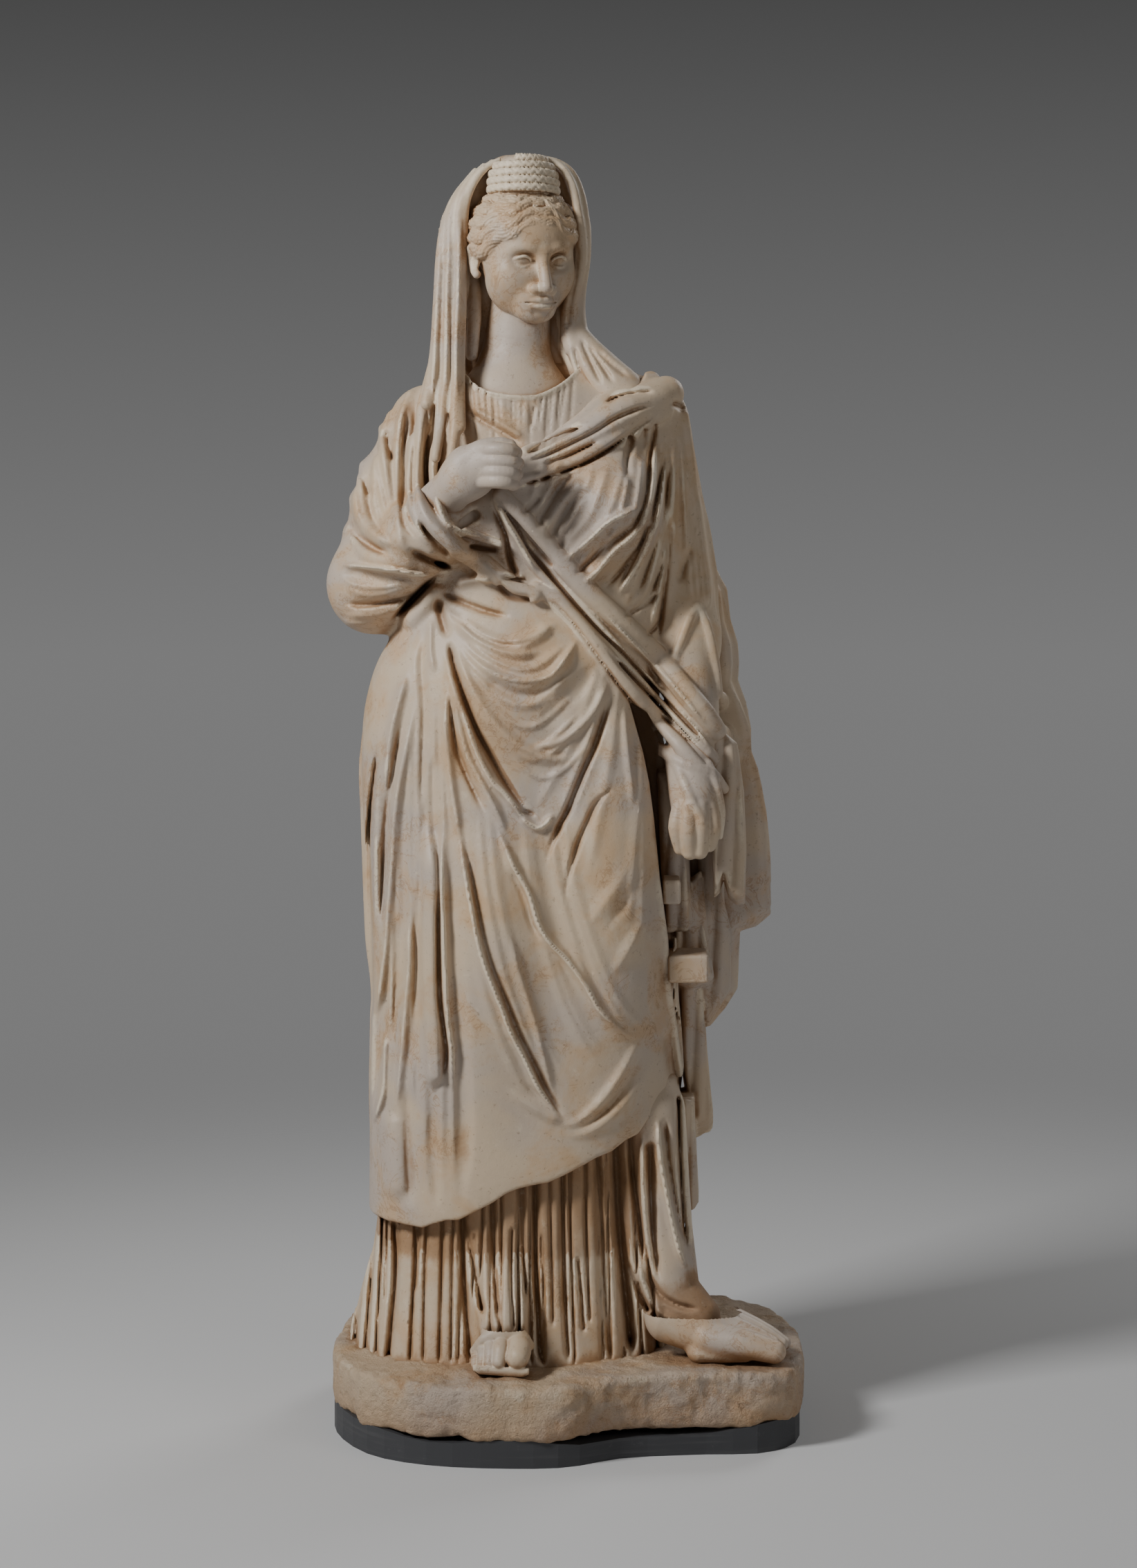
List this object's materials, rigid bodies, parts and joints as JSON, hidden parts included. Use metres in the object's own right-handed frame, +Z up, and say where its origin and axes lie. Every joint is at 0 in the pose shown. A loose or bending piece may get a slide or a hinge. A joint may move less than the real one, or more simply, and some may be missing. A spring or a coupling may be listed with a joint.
{
  "type": "draped female marble statue",
  "caption": "Over-life-size draped and veiled standing woman in marble, carved in one piece with a rough plinth that is set in a dark levelling cradle.",
  "frame": {"origin": "middle of the flat underside of the levelling cradle", "axes": "+Z up, the figure's chest facing -Y, its raised right hand towards -X"},
  "size_m": [0.7942, 0.6854, 2.1],
  "materials": {
    "marble": "worn honed marble with brown patina in the folds",
    "cradle": "matt dark grey with faint scratches"
  },
  "bodies": {
    "root": {"statue": "marble", "cradle": "cradle"}
  },
  "joints": []
}
